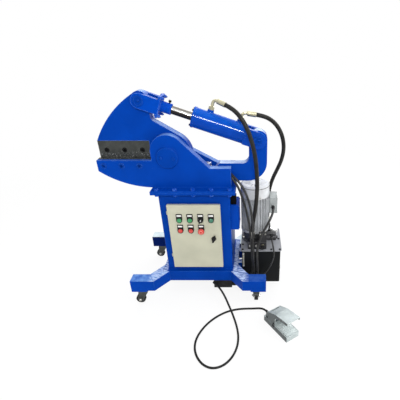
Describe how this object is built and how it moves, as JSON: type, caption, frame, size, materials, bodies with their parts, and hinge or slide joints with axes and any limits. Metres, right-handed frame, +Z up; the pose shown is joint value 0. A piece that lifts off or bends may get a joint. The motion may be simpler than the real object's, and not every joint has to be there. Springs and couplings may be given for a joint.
{
  "type": "hydraulic scrap metal shear",
  "caption": "Hydraulic alligator shear on a wheeled stand, with a cylinder-driven upper jaw, control box, pump unit and corded foot pedal.",
  "frame": {"origin": "on the floor under the middle of the column", "axes": "+Z up, +X from the jaw towards the pump unit, +Y from the control door to the back"},
  "size_m": [0.9906, 0.9393, 1.112],
  "materials": {
    "blue_paint": "gloss enamel, worn on the legs",
    "cream_paint": "fine textured enamel",
    "black_paint": "satin enamel",
    "grey_paint": "satin enamel",
    "blade_steel": "heat treated, ground edges",
    "bright_steel": "machined",
    "zinc": "zinc plated",
    "rod_chrome": "hard chrome",
    "hose_rubber": "matt rubber cover",
    "cable_sheath": "soft sheath",
    "black_plastic": "matt",
    "green_plastic": "gloss",
    "red_plastic": "gloss",
    "lamp_lens": "clear green lens",
    "gear_plastic": "moulded cases on a steel plate",
    "cast_aluminium": "cast, lightly painted",
    "caster_steel": "zinc plated pressing",
    "wheel_plastic": "hard grey plastic",
    "valve_steel": "blackened"
  },
  "bodies": {
    "frame": {"lower_jaw_plate": "blue_paint", "rear_body_plate": "blue_paint", "c_frame": "blue_paint", "lower_blade": "blade_steel", "lower_blade_bolts": "valve_steel", "pivot_pin": "blue_paint", "cylinder_pin": "blue_paint", "body_flange": "blue_paint", "flange_bolts": "blue_paint", "column": "blue_paint", "base_beams": "blue_paint", "front_legs": "blue_paint", "rear_legs": "blue_paint", "enclosure": "cream_paint", "control_gear": "gear_plastic", "tank": "black_paint", "tank_cover": "grey_paint", "motor": "grey_paint", "fan_cover": "grey_paint", "terminal_box": "grey_paint", "bell_housing": "cast_aluminium", "gear_pump": "cast_aluminium", "valve_block": "valve_steel", "solenoid_valve": "black_plastic", "junction_box": "blue_paint", "cable_duct": "black_paint", "hose_front": "hose_rubber", "hose_rear": "hose_rubber", "control_cables": "cable_sheath", "pedal_cord": "cable_sheath", "pedal_base": "cast_aluminium", "pedal_hood": "cast_aluminium"},
    "jaw": {"upper_jaw": "blue_paint", "upper_blade": "blade_steel", "upper_blade_bolts": "valve_steel"},
    "cylinder": {"cylinder_barrel": "blue_paint", "cylinder_gland": "blue_paint", "port_elbows": "zinc"},
    "rod": {"piston_rod": "rod_chrome", "rod_clevis": "blue_paint", "clevis_pin": "blue_paint"},
    "door": {"control_door": "cream_paint", "button_bezels": "black_plastic", "pilot_lamp": "lamp_lens"},
    "treadle": {"pedal_treadle": "cast_aluminium"},
    "start_button": {"start_button": "green_plastic"},
    "cut_button": {"cut_button": "green_plastic"},
    "stop_button": {"stop_button": "red_plastic"},
    "open_button": {"open_button": "red_plastic"},
    "emergency_stop": {"emergency_stop": "red_plastic"},
    "mode_selector": {"mode_selector": "black_plastic"},
    "door_lock": {"door_lock": "black_plastic"},
    "swivel_front_left": {"caster_fork_front_left": "caster_steel"},
    "wheel_front_left": {"caster_wheel_front_left": "wheel_plastic"},
    "swivel_front_right": {"caster_fork_front_right": "caster_steel"},
    "wheel_front_right": {"caster_wheel_front_right": "wheel_plastic"},
    "swivel_rear_left": {"caster_fork_rear_left": "caster_steel"},
    "wheel_rear_left": {"caster_wheel_rear_left": "wheel_plastic"},
    "swivel_rear_right": {"caster_fork_rear_right": "caster_steel"},
    "wheel_rear_right": {"caster_wheel_rear_right": "wheel_plastic"}
  },
  "joints": [
    {"name": "jaw_pivot", "type": "hinge", "parent": "frame", "child": "jaw", "pos_m": [-0.115, -0.057, 0.813], "axis": [0, 1, 0], "range_deg": [0, 20]},
    {"name": "cylinder_swing", "type": "hinge", "parent": "frame", "child": "cylinder", "pos_m": [0.323, -0.057, 0.889], "axis": [0, 1, 0], "range_deg": [0, 6], "deforming": ["hose_front", "hose_rear"]},
    {"name": "rod_slide", "type": "slide", "parent": "cylinder", "child": "rod", "axis": [0.9478, 0, -0.3188], "range_m": [0, 0.081]},
    {"name": "door_hinge", "type": "hinge", "parent": "frame", "child": "door", "pos_m": [-0.1456, -0.15, 0.388], "axis": [0, 0, -1], "range_deg": [0, 105]},
    {"name": "start_button_press", "type": "slide", "parent": "door", "child": "start_button", "axis": [0, 1, 0], "range_m": [0, 0.004], "stiffness_N_per_m": 500, "springref_m": -0.004},
    {"name": "cut_button_press", "type": "slide", "parent": "door", "child": "cut_button", "axis": [0, 1, 0], "range_m": [0, 0.004], "stiffness_N_per_m": 500, "springref_m": -0.004},
    {"name": "stop_button_press", "type": "slide", "parent": "door", "child": "stop_button", "axis": [0, 1, 0], "range_m": [0, 0.004], "stiffness_N_per_m": 500, "springref_m": -0.004},
    {"name": "open_button_press", "type": "slide", "parent": "door", "child": "open_button", "axis": [0, 1, 0], "range_m": [0, 0.004], "stiffness_N_per_m": 500, "springref_m": -0.004},
    {"name": "emergency_stop_press", "type": "slide", "parent": "door", "child": "emergency_stop", "axis": [0, 1, 0], "range_m": [0, 0.004]},
    {"name": "mode_selector_turn", "type": "hinge", "parent": "door", "child": "mode_selector", "pos_m": [0.027, -0.168, 0.496], "axis": [0, -1, 0], "range_deg": [-45, 45]},
    {"name": "door_lock_turn", "type": "hinge", "parent": "door", "child": "door_lock", "pos_m": [0.089, -0.168, 0.382], "axis": [0, -1, 0], "range_deg": [0, 90]},
    {"name": "treadle_press", "type": "hinge", "parent": "frame", "child": "treadle", "pos_m": [0.43389, -0.41353, 0.025], "axis": [0.8192, 0.5736, 0], "range_deg": [0, 10], "stiffness_Nm_per_rad": 2.5, "springref_deg": -11.46},
    {"name": "swivel_front_left_turn", "type": "hinge", "parent": "frame", "child": "swivel_front_left", "pos_m": [-0.315, -0.2285, 0.09], "axis": [0, 0, 1], "continuous": true},
    {"name": "wheel_front_left_spin", "type": "hinge", "parent": "swivel_front_left", "child": "wheel_front_left", "pos_m": [-0.336, -0.2285, 0.026], "axis": [0, 1, 0], "continuous": true},
    {"name": "swivel_front_right_turn", "type": "hinge", "parent": "frame", "child": "swivel_front_right", "pos_m": [0.315, -0.2285, 0.09], "axis": [0, 0, 1], "continuous": true},
    {"name": "wheel_front_right_spin", "type": "hinge", "parent": "swivel_front_right", "child": "wheel_front_right", "pos_m": [0.315, -0.2075, 0.026], "axis": [1, 0, 0], "continuous": true},
    {"name": "swivel_rear_left_turn", "type": "hinge", "parent": "frame", "child": "swivel_rear_left", "pos_m": [-0.315, 0.2285, 0.09], "axis": [0, 0, 1], "continuous": true},
    {"name": "wheel_rear_left_spin", "type": "hinge", "parent": "swivel_rear_left", "child": "wheel_rear_left", "pos_m": [-0.336, 0.2285, 0.026], "axis": [0, 1, 0], "continuous": true},
    {"name": "swivel_rear_right_turn", "type": "hinge", "parent": "frame", "child": "swivel_rear_right", "pos_m": [0.315, 0.2285, 0.09], "axis": [0, 0, 1], "continuous": true},
    {"name": "wheel_rear_right_spin", "type": "hinge", "parent": "swivel_rear_right", "child": "wheel_rear_right", "pos_m": [0.30782, 0.20877, 0.026], "axis": [-0.9397, 0.342, 0], "continuous": true}
  ],
  "couplings": [
    {"joint": "cylinder_swing", "follows": "jaw_pivot", "ratio": 0.29589},
    {"joint": "rod_slide", "follows": "jaw_pivot", "m_per_rad": 0.2289}
  ]
}
